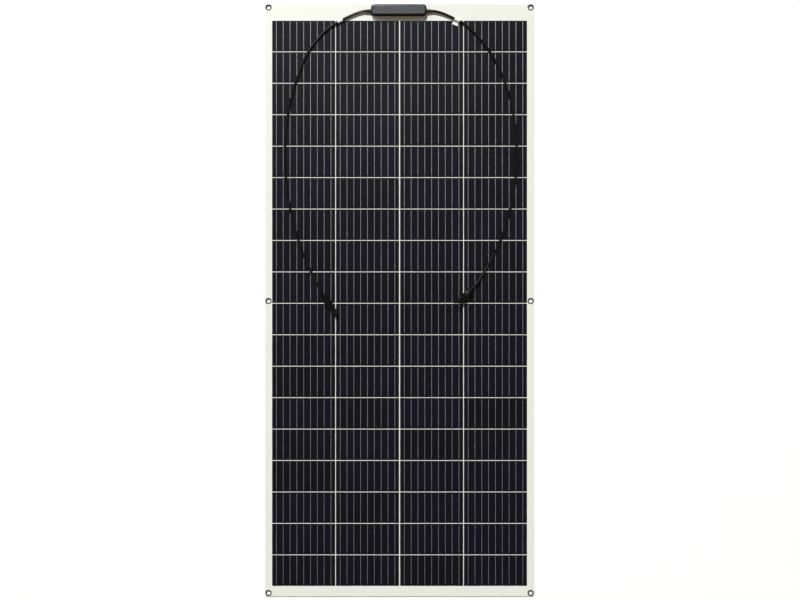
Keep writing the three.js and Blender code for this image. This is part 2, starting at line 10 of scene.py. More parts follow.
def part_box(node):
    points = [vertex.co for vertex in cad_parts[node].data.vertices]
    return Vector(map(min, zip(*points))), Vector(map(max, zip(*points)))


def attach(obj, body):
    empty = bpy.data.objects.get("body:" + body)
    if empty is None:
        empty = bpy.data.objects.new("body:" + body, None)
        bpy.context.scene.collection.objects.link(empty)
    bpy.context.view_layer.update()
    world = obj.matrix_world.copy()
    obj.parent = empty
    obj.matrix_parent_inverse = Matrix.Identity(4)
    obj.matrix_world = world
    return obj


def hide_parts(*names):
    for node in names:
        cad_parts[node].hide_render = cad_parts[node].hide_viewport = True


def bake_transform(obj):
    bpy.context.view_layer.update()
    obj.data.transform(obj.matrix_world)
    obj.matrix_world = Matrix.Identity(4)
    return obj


# Flexible solar sheet: its looks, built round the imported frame. Metres and +Z up, as in the frame.
# The sheet lies on z = 0 with its junction box at the +Y end.

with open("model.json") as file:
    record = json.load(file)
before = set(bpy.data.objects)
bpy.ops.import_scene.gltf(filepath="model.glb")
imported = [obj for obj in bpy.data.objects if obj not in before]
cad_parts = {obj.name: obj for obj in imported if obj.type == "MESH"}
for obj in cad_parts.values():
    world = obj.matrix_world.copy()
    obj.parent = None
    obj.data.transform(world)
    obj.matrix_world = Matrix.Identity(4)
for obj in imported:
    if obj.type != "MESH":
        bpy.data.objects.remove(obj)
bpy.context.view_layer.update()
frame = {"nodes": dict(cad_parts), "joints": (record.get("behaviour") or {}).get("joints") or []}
MM = 0.001
JOINTS = {joint["name"]: joint for joint in frame["joints"]}


# ---- Dimensions that the frame gives

def low(node):
    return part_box(node)[0]


def high(node):
    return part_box(node)[1]


SHEET_HALF_WIDTH = high("rear_board_top").x
SHEET_HALF_LENGTH = high("rear_board_top").y
SURFACE = high("front_film_top").z
CORNER_RADIUS = 5 * MM
TINY = 1e-6

COLUMNS = range(1, 5)
MIDDLE_ROWS = 6
ROWS = 18
CELL_ROW_GAP = low("cell_string_1_top").y - high("cell_string_1_middle").y
MIDDLE_LENGTH = high("cell_string_1_middle").y - low("cell_string_1_middle").y
ROW_PITCH = (MIDDLE_LENGTH + CELL_ROW_GAP) / MIDDLE_ROWS
CELL_LENGTH = ROW_PITCH - CELL_ROW_GAP
FIRST_ROW_TOP = high("cell_string_1_middle").y + MIDDLE_ROWS * ROW_PITCH

UPPER_BEND = JOINTS["upper_bend"]["pos_m"][1]
LOWER_BEND = JOINTS["lower_bend"]["pos_m"][1]
BEND_INNER_REACH = 0.100
BEND_OUTER_REACH = 0.200
ROWS_IN_UPPER_HALF = 10
SEAM = FIRST_ROW_TOP - ROWS_IN_UPPER_HALF * ROW_PITCH + CELL_ROW_GAP / 2

# Each half of the sheet: its rows, its span in y, the frame's segments that it stands for, the body beyond
# its
#  joint, that joint's place ("bend") and which way is outward.
HALVES = {
    "upper": {
        "rows": range(0, ROWS_IN_UPPER_HALF), "y": (SEAM, SHEET_HALF_LENGTH), "segments": ("top", "middle"),
        "body": "sheet_top", "bend": UPPER_BEND, "outward": 1,
    },
    "lower": {
        "rows": range(ROWS_IN_UPPER_HALF, ROWS), "y": (-SHEET_HALF_LENGTH, SEAM), "segments": ("bottom",),
        "body": "sheet_bottom", "bend": LOWER_BEND, "outward": -1,
    },
}


# ---- Camera and light

CAMERA_HEIGHT = 3.2
CAMERA_OFFSET = (1.1 * MM, 0.4 * MM)
FIELD_WIDTH = 2.04
SENSOR = 36.0


def add_camera():
    data = bpy.data.cameras.new("camera")
    data.sensor_width = SENSOR
    data.lens = SENSOR * CAMERA_HEIGHT / FIELD_WIDTH
    camera = bpy.data.objects.new("camera", data)
    camera.location = (*CAMERA_OFFSET, CAMERA_HEIGHT)
    bpy.context.scene.collection.objects.link(camera)
    bpy.context.scene.camera = camera


def add_light(name, kind, place, energy, colour, **settings):
    """A lamp at place that points at the middle of the sheet."""
    data = bpy.data.lights.new(name, kind)
    data.energy = energy
    data.color = colour
    for key, value in settings.items():
        setattr(data, key, value)
    lamp = bpy.data.objects.new(name, data)
    lamp.location = place
    lamp.rotation_euler = (-Vector(place)).to_track_quat("-Z", "Y").to_euler()
    bpy.context.scene.collection.objects.link(lamp)


def add_world():
    """Soft room light: a pale band at the horizon, and a dim warm room above it."""
    world = bpy.data.worlds.new("studio")
    world.use_nodes = True
    tree = world.node_tree
    background = tree.nodes["Background"]
    place = tree.nodes.new("ShaderNodeTexCoord")
    split = tree.nodes.new("ShaderNodeSeparateXYZ")
    ramp = tree.nodes.new("ShaderNodeValToRGB")
    tree.links.new(place.outputs["Generated"], split.inputs[0])
    tree.links.new(split.outputs["Z"], ramp.inputs["Fac"])
    tree.links.new(ramp.outputs["Color"], background.inputs["Color"])
    stops = ramp.color_ramp.elements
    stops[0].position = 0.06
    stops[0].color = (4.4, 4.35, 4.2, 1)
    stops[1].position = 0.95
    stops[1].color = (0.78, 0.64, 0.48, 1)
    stops.new(0.2).color = (1.0, 0.7, 0.42, 1)
    background.inputs["Strength"].default_value = 0.2
    bpy.context.scene.world = world


def add_studio():
    add_world()
    add_light("key", "SUN", (-0.28, 1.12, 1.38), 3.58, (0.95, 0.98, 1.0), angle=math.radians(4))
    add_light("side_fill", "AREA", (-1.0, 1.5, 0.9), 5, (1.0, 0.99, 0.96), shape="DISK", size=0.5)
    add_light("overhead", "AREA", (-0.2, 1.3, 3.3), 4, (0.84, 0.9, 1.0),
              shape="RECTANGLE", size=1.05, size_y=1.0)
    bpy.context.scene.view_settings.view_transform = "Standard"


add_camera()
add_studio()


# ---- Materials

REST = "rest_place"


class Look:
    """A node material round one Principled shader. Patterns read the place that each piece stores."""

    def __init__(self, name, colour, roughness, metallic=0.0, stored=True, **plain):
        self.material = bpy.data.materials.new(name)
        self.material.use_nodes = True
        self.tree = self.material.node_tree
        self.shader = self.tree.nodes["Principled BSDF"]
        self.height = None
        self.set("Base Color", (*colour, 1))
        self.set("Roughness", roughness)
        self.set("Metallic", metallic)
        for socket, value in plain.items():
            self.set(socket.replace("_", " "), value)
        if stored:
            source = self.tree.nodes.new("ShaderNodeAttribute")
            source.attribute_name = REST
            self.place = source.outputs["Vector"]
        else:
            self.place = self.tree.nodes.new("ShaderNodeTexCoord").outputs["Object"]

    def set(self, socket, value):
        if isinstance(value, bpy.types.NodeSocket):
            self.tree.links.new(value, self.shader.inputs[socket])
        else:
            self.shader.inputs[socket].default_value = value

    def node(self, kind, inputs, **settings):
        """A node with its settings, and its inputs given as values or as other nodes' outputs."""
        node = self.tree.nodes.new(kind)
        for key, value in settings.items():
            setattr(node, key, value)
        for key, value in inputs.items():
            if isinstance(value, bpy.types.NodeSocket):
                self.tree.links.new(value, node.inputs[key])
            else:
                node.inputs[key].default_value = value
        return node

    def stored(self, attribute):
        """The number of that name that the piece stores at each point."""
        return self.node("ShaderNodeAttribute", {}, attribute_name=attribute).outputs["Fac"]

    def noise(self, size, detail=3.0):
        """Noise from 0 to 1 whose features are about size metres across."""
        inputs = {"Vector": self.place, "Scale": 1 / size, "Detail": detail}
        return self.node("ShaderNodeTexNoise", inputs).outputs["Fac"]

    def spread(self, value, start, end, to_start=0.0, to_end=1.0):
        inputs = {0: value, 1: start, 2: end, 3: to_start, 4: to_end}
        return self.node("ShaderNodeMapRange", inputs).outputs[0]

    def times(self, a, b):
        return self.node("ShaderNodeMath", {0: a, 1: b}, operation="MULTIPLY").outputs[0]

    def blend(self, factor, a, b):
        """Colour a where factor is 0, and colour b where it is 1. A colour is three numbers or a socket."""
        colours = [colour if isinstance(colour, bpy.types.NodeSocket) else (*colour, 1) for colour in (a, b)]
        node = self.tree.nodes.new("ShaderNodeMix")
        node.data_type = "RGBA"
        for socket, value in zip((node.inputs[0], node.inputs[6], node.inputs[7]), (factor, *colours)):
            if isinstance(value, bpy.types.NodeSocket):
                self.tree.links.new(value, socket)
            else:
                socket.default_value = value
        return node.outputs[2]

    def bump(self, height, distance, coat=False):
        """Adds relief of that height in metres to the surface, and to its coat as well if asked."""
        inputs = {"Height": height, "Distance": distance, "Strength": 1.0}
        if self.height is not None:
            inputs["Normal"] = self.height
        self.height = self.node("ShaderNodeBump", inputs).outputs["Normal"]
        self.set("Normal", self.height)
        if coat:
            self.set("Coat Normal", self.height)


# The clear film over the backing and the cells.
FILM = {"Coat_Roughness": 0.27, "Coat_IOR": 1.42}


def laminate_look():
    """White backing under a clear film with a fine satin grain."""
    look = Look("laminate", (0.78, 0.79, 0.725), 0.5, Coat_Weight=0.35, **FILM)
    cloud = look.spread(look.noise(0.12, 4), 0.3, 0.7)
    look.set("Base Color", look.blend(cloud, (0.765, 0.775, 0.712), (0.79, 0.80, 0.738)))
    look.set("Roughness", look.spread(look.noise(0.004), 0.3, 0.7, 0.44, 0.58))
    film_relief(look)
    return look.material


def film_relief(look):
    """The film's grain, and the slow waves that the lamination leaves."""
    look.bump(look.noise(0.0009, 2), 0.00003, coat=True)
    look.bump(look.noise(0.07, 1), 0.0005, coat=True)


FINGER_PITCH = 1.35 * MM


def cell_look():
    """Dark silicon crossed by fine silver fingers, under the same film."""
    look = Look("silicon_cell", (0.004, 0.005, 0.009), 0.42, Coat_Weight=0.28, **FILM)
    look.set("Specular IOR Level", 0.05)
    tone = look.blend(look.stored("cell_tone"), (0.0023, 0.0038, 0.0072), (0.0034, 0.0041, 0.0125))
    cloud = look.spread(look.noise(0.03, 4), 0.35, 0.7)
    silicon = look.blend(look.times(cloud, 0.35), tone, (0.0052, 0.005, 0.008))
    y = look.node("ShaderNodeSeparateXYZ", {0: look.place}).outputs["Y"]
    phase = look.times(y, 2 * math.pi / FINGER_PITCH)
    wave = look.node("ShaderNodeMath", {0: phase}, operation="SINE").outputs[0]
    finger = look.spread(wave, 0.9, 1.0)
    look.set("Base Color", look.blend(look.times(finger, 0.14), silicon, (0.06, 0.06, 0.065)))
    film_relief(look)
    return look.material


def metal_look(name, colour, roughness, tarnish, grain=0.0025, stored=True):
    """Plain metal with a thin uneven tarnish."""
    look = Look(name, colour, roughness, metallic=1.0, stored=stored)
    dull = look.spread(look.noise(grain, 4), 0.42, 0.68)
    look.set("Base Color", look.blend(look.times(dull, 0.6), colour, tarnish))
    look.set("Roughness", look.spread(look.noise(grain / 2, 3), 0.3, 0.7, roughness * 0.8, roughness * 1.3))
    look.bump(look.noise(grain / 4, 2), 0.00001)
    return look.material


def moulded_look(name, colour, roughness, ripple=0.0, gloss=0.5, polish=0.0, dust_and_sheen_lift=0.008, patch=0.006,
                 stored=True):
    """Moulded plastic or rubber: a fine grain, lighter patches that are dust on most parts and a painted
    mottled reflection on the lid, where they are large and strong, and, on glossy faces, a coat of weight
    polish and a slow ripple."""
    look = Look(name, colour, roughness, stored=stored, Coat_Weight=polish, Coat_Roughness=0.14)
    # Lighter patches: dust, and on the lid a painted mottled reflection.
    dust_and_sheen = look.spread(look.noise(patch, 5), 0.5, 0.78)
    dusty_and_sheen = tuple(channel * 1.35 + dust_and_sheen_lift for channel in colour)
    look.set("Base Color", look.blend(look.times(dust_and_sheen, 0.5), colour, dusty_and_sheen))
    look.set("Specular IOR Level", gloss)
    look.set("Roughness", look.spread(look.noise(0.008, 4), 0.3, 0.7, roughness * 0.8, roughness * 1.25))
    look.bump(look.noise(0.0006, 2), 0.00001)
    if ripple:
        look.bump(look.noise(0.011, 3), ripple)
    return look.material


def cable_look():
    """Extruded sheath: satin black, with faint scuffs."""
    black = (0.002, 0.002, 0.0025)
    look = Look("cable_sheath", black, 0.24)
    scuff = look.spread(look.noise(0.003, 5), 0.55, 0.75)
    look.set("Base Color", look.blend(look.times(scuff, 0.5), black, (0.007, 0.007, 0.008)))
    look.set("Specular IOR Level", 0.35)
    look.set("Roughness", look.spread(look.noise(0.01, 3), 0.3, 0.7, 0.18, 0.3))
    look.bump(look.noise(0.0008, 2), 0.00002)
    return look.material


def label_look():
    """Blank white label film, a little creased, with painted crease shade in lighter and darker patches."""
    look = Look("label_film", (0.8, 0.8, 0.77), 0.45, Coat_Weight=0.2, Coat_Roughness=0.3)
    # Painted crease shade: the film's colour is lighter and darker in patches.
    painted_crease_shade = look.spread(look.noise(0.004, 4), 0.35, 0.7)
    look.set("Base Color", look.blend(painted_crease_shade, (0.82, 0.82, 0.79), (0.74, 0.74, 0.7)))
    look.bump(look.noise(0.003, 2), 0.00012)
    return look.material


LOOKS = {
    "laminate": laminate_look(),
    "cell": cell_look(),
    "wire": metal_look("tinned_wire", (0.88, 0.89, 0.91), 0.44, (0.72, 0.73, 0.75), 0.004),
    "eyelet": metal_look("plated_brass", (0.04, 0.039, 0.036), 0.3, (0.02, 0.019, 0.018), 0.002),
    # The lid's large, strong light patches are a painted mottled reflection.
    "lid": moulded_look("lid_plastic", (0.005, 0.0052, 0.006), 0.22, ripple=0.00035, gloss=0.95, polish=0.55,
                        dust_and_sheen_lift=0.05, patch=0.012),
    "box": moulded_look("box_plastic", (0.005, 0.005, 0.0055), 0.5, gloss=0.06),
    "connector": moulded_look("connector_plastic", (0.0025, 0.0025, 0.003), 0.2, gloss=0.3, dust_and_sheen_lift=0.003),
    "rubber": moulded_look("seal_rubber", (0.014, 0.014, 0.014), 0.6),
    "foam": moulded_look("foam_tape", (0.02, 0.02, 0.02), 0.85),
    "cable": cable_look(),
    "label": label_look(),
    "brass": metal_look("terminal_brass", (0.42, 0.31, 0.13), 0.42, (0.22, 0.15, 0.07)),
    "copper": metal_look("copper_strand", (0.7, 0.36, 0.2), 0.35, (0.4, 0.2, 0.1), 0.0006),
    "tin": metal_look("tinned_contact", (0.5, 0.5, 0.49), 0.35, (0.34, 0.34, 0.33)),
    "diode": moulded_look("diode_epoxy", (0.014, 0.014, 0.015), 0.4),
    "band": moulded_look("diode_band", (0.5, 0.5, 0.49), 0.5),
    "ribbon": metal_look("tinned_ribbon", (0.7, 0.7, 0.72), 0.3, (0.5, 0.5, 0.5), stored=False),
    "strip": moulded_look("cover_film", (0.75, 0.76, 0.7), 0.5, stored=False),
}


# ---- Mesh helpers

class Surface:
    """The points and faces of one piece, gathered from simple parts."""

    def __init__(self):
        self.points = []
        self.faces = []

    def add(self, points, faces, place=None):
        start = len(self.points)
        for point in points:
            point = Vector(point)
            self.points.append(place @ point if place else point)
        self.faces.extend([tuple(start + i for i in face) for face in faces])
        return self

    def loft(self, rings, place=None, loop=False):
        """Joins rings of equally many points. loop joins the last to the first; otherwise both ends close."""
        count = len(rings[0])
        faces = []
        for k in range(len(rings) if loop else len(rings) - 1):
            a = k * count
            b = (k + 1) % len(rings) * count
            for i in range(count):
                j = (i + 1) % count
                faces.append((a + i, a + j, b + j, b + i))
        if not loop:
            faces.append(tuple(reversed(range(count))))
            faces.append(tuple(range((len(rings) - 1) * count, len(rings) * count)))
        return self.add([point for ring in rings for point in ring], faces, place)

    def lathe(self, profile, place=None, sides=48, loop=False, limit=None):
        """Turns a profile of (distance along X, radius) round X. limit(along, angle) caps the radius."""
        rings = []
        for along, radius in profile:
            ring = []
            for i in range(sides):
                angle = 2 * math.pi * i / sides
                r = min(radius, limit(along, angle)) if limit else radius
                ring.append((along, r * math.cos(angle), r * math.sin(angle)))
            rings.append(ring)
        return self.loft(rings, place, loop)

    def prism(self, outline, z0, z1, bevel, place=None):
        """A flat outline given thickness from z0 to z1, with its edges rounded."""
        work = bmesh.new()
        face = work.faces.new([work.verts.new((x, y, z0)) for x, y in outline])
        made = bmesh.ops.extrude_face_region(work, geom=[face])
        lifted = [item for item in made["geom"] if isinstance(item, bmesh.types.BMVert)]
        bmesh.ops.translate(work, verts=lifted, vec=(0, 0, z1 - z0))
        bmesh.ops.recalc_face_normals(work, faces=work.faces)
        if bevel:
            bmesh.ops.bevel(work, geom=work.edges, offset=bevel, segments=2, affect="EDGES",
                            clamp_overlap=True)
        return self.take(work, place)

    def take(self, work, place=None):
        """Adds a bmesh's points and faces, and frees it."""
        work.verts.ensure_lookup_table()
        points = [vert.co.copy() for vert in work.verts]
        faces = [tuple(vert.index for vert in face.verts) for face in work.faces]
        work.free()
        return self.add(points, faces, place)

    def made(self, name, look, values=None, sharp=38):
        """The piece itself. values are the numbers that it stores for its material, by name. Edges over
        sharp degrees stay sharp."""
        mesh = bpy.data.meshes.new(name)
        mesh.from_pydata([tuple(point) for point in self.points], [], self.faces)
        work = bmesh.new()
        work.from_mesh(mesh)
        bmesh.ops.recalc_face_normals(work, faces=work.faces)
        work.to_mesh(mesh)
        work.free()
        mesh.shade_smooth()
        mesh.set_sharp_from_angle(angle=math.radians(sharp))
        mesh.materials.append(LOOKS[look])
        rest = mesh.attributes.new(REST, "FLOAT_VECTOR", "POINT")
        rest.data.foreach_set("vector", [value for vertex in mesh.vertices for value in vertex.co])
        for key, numbers in (values or {}).items():
            mesh.attributes.new(key, "FLOAT", "POINT").data.foreach_set("value", numbers)
        piece = bpy.data.objects.new(name, mesh)
        bpy.context.scene.collection.objects.link(piece)
        return piece


def rounded(profile, radius, steps=3, closed=False):
    """The same profile with each corner turned into a short curve."""
    points = [Vector(point) for point in profile]
    count = len(points)
    smooth = []
    for i, point in enumerate(points):
        if not closed and i in (0, count - 1):
            smooth.append(point)
            continue
        before = points[i - 1] - point
        after = points[(i + 1) % count] - point
        reach = min(radius, before.length * 0.45, after.length * 0.45)
        start = point + before.normalized() * reach
        end = point + after.normalized() * reach
        for k in range(steps + 1):
            t = k / steps
            smooth.append(start * (1 - t) ** 2 + point * 2 * t * (1 - t) + end * t ** 2)
    return smooth


def rounded_rectangle(centre, length, width, radius, steps=8):
    """Points round a rectangle with round corners, counter-clockwise."""
    x = length / 2 - radius
    y = width / 2 - radius
    points = []
    for quarter, (sx, sy) in enumerate([(1, 1), (-1, 1), (-1, -1), (1, -1)]):
        for k in range(steps + 1):
            angle = (quarter + k / steps) * math.pi / 2
            points.append((centre[0] + sx * x + radius * math.cos(angle),
                           centre[1] + sy * y + radius * math.sin(angle)))
    return points


def in_mm(profile, radius=0.25, steps=2, closed=False):
    """A profile written in millimetres, with its corners eased, in metres."""
    return [point * MM for point in rounded(profile, radius, steps, closed)]


def circle(centre, radius, sides):
    turn = 2 * math.pi / sides
    return [(centre[0] + radius * math.cos(i * turn), centre[1] + radius * math.sin(i * turn))
            for i in range(sides)]


# ---- Leads

# The same routes as the cables' solids follow, in millimetres.
CABLE_ROUTES = {
    "left": [
        (-87, 735.5, 9), (-95, 734.5, 8.9), (-109, 730.1, 8.6), (-125, 723.3, 8.1), (-141, 715.7, 7.5),
        (-164, 703.5, 6.9), (-185, 688.5, 6.4), (-206, 667.5, 6), (-233, 631.5, 5.8), (-265.5, 551, 5.8),
        (-285, 470, 5.8), (-291.7, 389, 5.8), (-289.5, 309, 5.8), (-277.8, 229, 5.8), (-256.3, 149, 5.8),
        (-237.5, 98, 6.4), (-220, 62, 8.6), (-207.5, 36.5, 11), (-203.2, 27.6, 11.7), (-192, 11, 11.8),
        (-189.8, 7.7, 11.8),
    ],
    "right": [
        (83, 735.5, 9), (91, 734.7, 8.9), (105, 731.2, 8.6), (119, 725.9, 8.2), (131, 720.6, 7.7),
        (140, 716, 7.3), (161.5, 705, 6.8), (184, 686, 6.3), (209.5, 659, 5.9), (232, 628.5, 5.8),
        (270, 551, 5.8), (290, 470, 5.8), (298, 389, 5.8), (295, 309, 5.8), (280.8, 228.3, 5.8),
        (255, 149, 5.8), (235, 105, 6.4), (213.5, 70, 8.8), (200.5, 49, 11.2), (194.2, 41, 11.7),
        (181, 26, 11.8), (178.3, 23, 11.8),
    ],
}
SIDES = {"left": -1, "right": 1}
CABLE_DIAMETER = 6 * MM
CABLE_SIDES = 24
CABLE_STEP = 3.5 * MM
CABLE_TUCK = 3 * MM
SPAN_STEPS = 24


def through(points, per_span=SPAN_STEPS):
    """A smooth line through given points: a centripetal Catmull-Rom curve."""
    points = [2 * points[0] - points[1], *points, 2 * points[-1] - points[-2]]
    line = []
    for a, b, c, d in zip(points, points[1:], points[2:], points[3:]):
        t = [0.0]
        for start, end in ((a, b), (b, c), (c, d)):
            t.append(t[-1] + math.sqrt((end - start).length))
        for k in range(per_span):
            s = t[1] + (t[2] - t[1]) * k / per_span
            first = [mixed(start, end, (s - t[i]) / (t[i + 1] - t[i]))
                     for i, (start, end) in enumerate(((a, b), (b, c), (c, d)))]
            second = [mixed(first[i], first[i + 1], (s - t[i]) / (t[i + 2] - t[i])) for i in range(2)]
            line.append(mixed(second[0], second[1], (s - t[1]) / (t[2] - t[1])))
    return line + [points[-2]]


def mixed(a, b, share):
    """The point that share of the way from a to b."""
    return a + (b - a) * share


def evenly(line, step):
    """Points about step apart along a line."""
    along = [0.0]
    for a, b in zip(line, line[1:]):
        along.append(along[-1] + (b - a).length)
    count = round(along[-1] / step)
    spaced = []
    k = 0
    for i in range(count + 1):
        wanted = along[-1] * i / count
        while k < len(line) - 2 and along[k + 1] < wanted:
            k += 1
        spaced.append(mixed(line[k], line[k + 1], (wanted - along[k]) / (along[k + 1] - along[k])))
    return spaced


def direction(line, i):
    return (line[min(i + 1, len(line) - 1)] - line[max(i - 1, 0)]).normalized()


def across(line, i):
    """Directions to the right of the line and up from it, at its point i. The line is nowhere upright."""
    along = direction(line, i)
    right = along.cross(Vector((0, 0, 1))).normalized()
    return right, right.cross(along)


def sweep(line, section, shift=None):
    """A section of (right, up) points carried along a line. shift(i, section) changes it at point i."""
    rings = []
    for i, point in enumerate(line):
        right, up = across(line, i)
        cut = shift(i, section) if shift else section
        rings.append([point + right * r + up * u for r, u in cut])
    return Surface().loft(rings)


def tube(line, radius, sides):
    return sweep(line, circle((0, 0), radius, sides))


def route(side):
    return through([Vector(point) * MM for point in CABLE_ROUTES[side]])


def lead_line(side):
    """The lead's centreline. It starts a little way inside the strain relief."""
    line = route(side)
    tucked = line[0] - Vector((SIDES[side] * CABLE_TUCK, 0, 0))
    return evenly([tucked, *line], CABLE_STEP)


LEAD_LINES = {side: lead_line(side) for side in CABLE_ROUTES}


def bend_ends(half):
    """Where that half's bend starts, towards the sheet's middle, and where it ends."""
    facts = HALVES[half]
    return (facts["bend"] - facts["outward"] * BEND_INNER_REACH,
            facts["bend"] + facts["outward"] * BEND_OUTER_REACH)


def bend_with(piece):
    """Bakes the piece's place into its points; nothing here bends it with the sheet."""
    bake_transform(piece)


def add_cable(side):
    cable = tube(LEAD_LINES[side], CABLE_DIAMETER / 2, CABLE_SIDES).made(f"lead_{side}", "cable")
    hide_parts(f"cable_{side}_upper", f"cable_{side}_lower")
    bend_with(cable)
    return cable


# ---- Sheet

FILM_EDGE = 0.6 * MM
# A cell's flat face stands proud of the film, and its rim lies under it.
CELL_RISE = 0.1 * MM
CELL_SINK = 0.05 * MM
CELL_SLOPE = 0.4 * MM
CELL_END_SLOPE = 0.08 * MM
TONE_SEED = 7
BEND_STEP = 10 * MM
EYELETS = [f"eyelet_{row}_{side}" for row in ("top", "middle", "bottom") for side in ("left", "right")]
EYELET_HOLE_RADIUS = 5.7 * MM


def row_span(row):
    """Bottom and top of a row of cells."""
    top = FIRST_ROW_TOP - row * ROW_PITCH
    return top - CELL_LENGTH, top


def bends_between(half, bottom, top):
    """True if that stretch of the sheet takes part in the half's bend."""
    ends = bend_ends(half)
    return top > min(ends) and bottom < max(ends)


def row_stations(half, row):
    """The heights at which a row's cells, wires and backing all have a line of points, so they bend alike."""
    bottom, top = row_span(row)
    count = round(CELL_LENGTH / BEND_STEP) if bends_between(half, bottom, top) else 2
    return [mixed(bottom, top, k / count) for k in range(count + 1)]


def eyelet_centre(node):
    corner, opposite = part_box(node)
    return (corner + opposite) / 2


def laminate_outline(half):
    """The half's outline, counter-clockwise, with round corners at the sheet's end."""
    end = HALVES[half]["outward"]
    corners = rounded_rectangle((0, 0), 2 * SHEET_HALF_WIDTH, 2 * SHEET_HALF_LENGTH, CORNER_RADIUS)
    kept = [point for point in corners if point[1] * end > 0]
    if end > 0:
        return kept + [(-SHEET_HALF_WIDTH, SEAM), (SHEET_HALF_WIDTH, SEAM)]
    return [(-SHEET_HALF_WIDTH, SEAM), *kept, (SHEET_HALF_WIDTH, SEAM)]


def laminate_face(half):
    """A flat bmesh of the half, with its eyelet holes."""
    work = bmesh.new()
    bottom, top = HALVES[half]["y"]
    loops = [laminate_outline(half)]
    for node in EYELETS:
        centre = eyelet_centre(node)
        if bottom < centre.y < top:
            loops.append(circle(centre.xy, EYELET_HOLE_RADIUS, 40))
    edges = []
    for loop in loops:
        verts = [work.verts.new((x, y, 0)) for x, y in loop]
        for a, b in zip(verts, verts[1:] + verts[:1]):
            edges.append(work.edges.new((a, b)))
    bmesh.ops.triangle_fill(work, use_beauty=True, edges=edges)
    return work


def add_laminate(half):
    """The white backing and the film over it, as one body with a chamfered film edge."""
    work = laminate_face(half)
    base = work.faces[:]
    made = bmesh.ops.extrude_face_region(work, geom=base)
    lifted = [item for item in made["geom"] if isinstance(item, bmesh.types.BMVert)]
    bmesh.ops.translate(work, verts=lifted, vec=(0, 0, SURFACE))
    bmesh.ops.recalc_face_normals(work, faces=work.faces)
    rim = [edge for edge in work.edges if is_rim(edge)]
    bmesh.ops.bevel(work, geom=rim, offset=FILM_EDGE, segments=3, affect="EDGES", profile=0.5)
    for row in HALVES[half]["rows"]:
        for y in row_stations(half, row):
            geometry = work.verts[:] + work.edges[:] + work.faces[:]
            bmesh.ops.bisect_plane(work, geom=geometry, plane_co=(0, y, 0), plane_no=(0, 1, 0), dist=TINY)
    laminate = Surface().take(work).made(f"laminate_{half}", "laminate", sharp=8)
    layers = ("rear_board", "rear_encapsulant", "front_encapsulant", "front_film")
    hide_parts(*[f"{layer}_{segment}" for layer in layers for segment in HALVES[half]["segments"]])
    bend_with(laminate)


def is_rim(edge):
    """True for an upper edge of the sheet's outside."""
    a, b = (vert.co for vert in edge.verts)
    on_seam = abs(a.y - SEAM) < TINY and abs(b.y - SEAM) < TINY
    if min(a.z, b.z) < SURFACE - TINY or on_seam:
        return False
    inside = CORNER_RADIUS + FILM_EDGE
    middle = (a + b) / 2
    straight = (abs(middle.x) > SHEET_HALF_WIDTH - TINY
                or abs(middle.y) > SHEET_HALF_LENGTH - TINY)
    corner = abs(middle.x) > SHEET_HALF_WIDTH - inside and abs(middle.y) > SHEET_HALF_LENGTH - inside
    return len(edge.link_faces) == 2 and abs(edge.calc_face_angle(0)) > 1 and (straight or corner)


def add_cells(half, column, tones):
    """The half-cut cells of one column: flat plates that stand a little proud, with soft edges."""
    node = f"cell_string_{column}_middle"
    left, right = low(node).x, high(node).x
    surface = Surface()
    values = []
    for row in HALVES[half]["rows"]:
        stations = row_stations(half, row)
        bottom, top = stations[0], stations[-1]
        xs = [left, left + CELL_SLOPE, right - CELL_SLOPE, right]
        ys = [bottom, bottom + CELL_END_SLOPE, *stations[1:-1], top - CELL_END_SLOPE, top]
        points = []
        for j, y in enumerate(ys):
            for i, x in enumerate(xs):
                edge = i in (0, len(xs) - 1) or j in (0, len(ys) - 1)
                points.append((x, y, SURFACE + (-CELL_SINK if edge else CELL_RISE)))
        width = len(xs)
        faces = [(j * width + i, j * width + i + 1, (j + 1) * width + i + 1, (j + 1) * width + i)
                 for j in range(len(ys) - 1) for i in range(width - 1)]
        surface.add(points, faces)
        values += [tones[row, column]] * len(points)
    cells = surface.made(f"cells_{column}_{half}", "cell", {"cell_tone": values}, sharp=8)
    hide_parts(*[f"cell_string_{column}_{segment}" for segment in HALVES[half]["segments"]])
    bend_with(cells)


WIRES = 9
WIRE_PITCH = 17.4 * MM
WIRE_WIDTH = 0.65 * MM
WIRE_HEIGHT = 0.1 * MM
WIRE_TOP_SETBACK = 2.8 * MM
# Distances from a cell's lower edge at which its wires start to widen and have their full width.
WIRE_NECK = (5.4 * MM, 6.6 * MM)
WIRE_NECK_SHARE = 0.5
# A wire's section (across, up) in shares of its width and height.
WIRE_SECTION = [(-0.5, -0.2), (-0.35, 0.7), (0, 1), (0.35, 0.7), (0.5, -0.2)]


def add_wires(half, column):
    """The round wires down each cell of one column. Each narrows near the cell's lower edge, and runs on
    over the gap to the next cell."""
    node = f"cell_string_{column}_middle"
    centre = (low(node).x + high(node).x) / 2
    face = SURFACE + CELL_RISE
    wires = Surface()
    for row in HALVES[half]["rows"]:
        stations = row_stations(half, row)
        bottom, top = stations[0], stations[-1]
        neck, full = (bottom + reach for reach in WIRE_NECK)
        foot = bottom if row == ROWS - 1 else bottom - CELL_ROW_GAP
        steps = [(foot, WIRE_NECK_SHARE), (neck, WIRE_NECK_SHARE), (full, 1)]
        steps += [(y, 1) for y in stations if full < y < top - WIRE_TOP_SETBACK]
        steps.append((top - WIRE_TOP_SETBACK, 1))
        for i in range(WIRES):
            x = centre + (i - (WIRES - 1) / 2) * WIRE_PITCH
            wires.loft([[(x + dx * WIRE_WIDTH * size, y, face + dz * WIRE_HEIGHT) for dx, dz in WIRE_SECTION]
                        for y, size in steps])
    wires = wires.made(f"wires_{column}_{half}", "wire")
    bend_with(wires)


def add_sheet():
    choose = random.Random(TONE_SEED)
    tones = {(row, column): choose.random() for row in range(ROWS) for column in COLUMNS}
    for half in HALVES:
        add_laminate(half)
        for column in COLUMNS:
            add_cells(half, column, tones)
            add_wires(half, column)


# ---- Eyelets

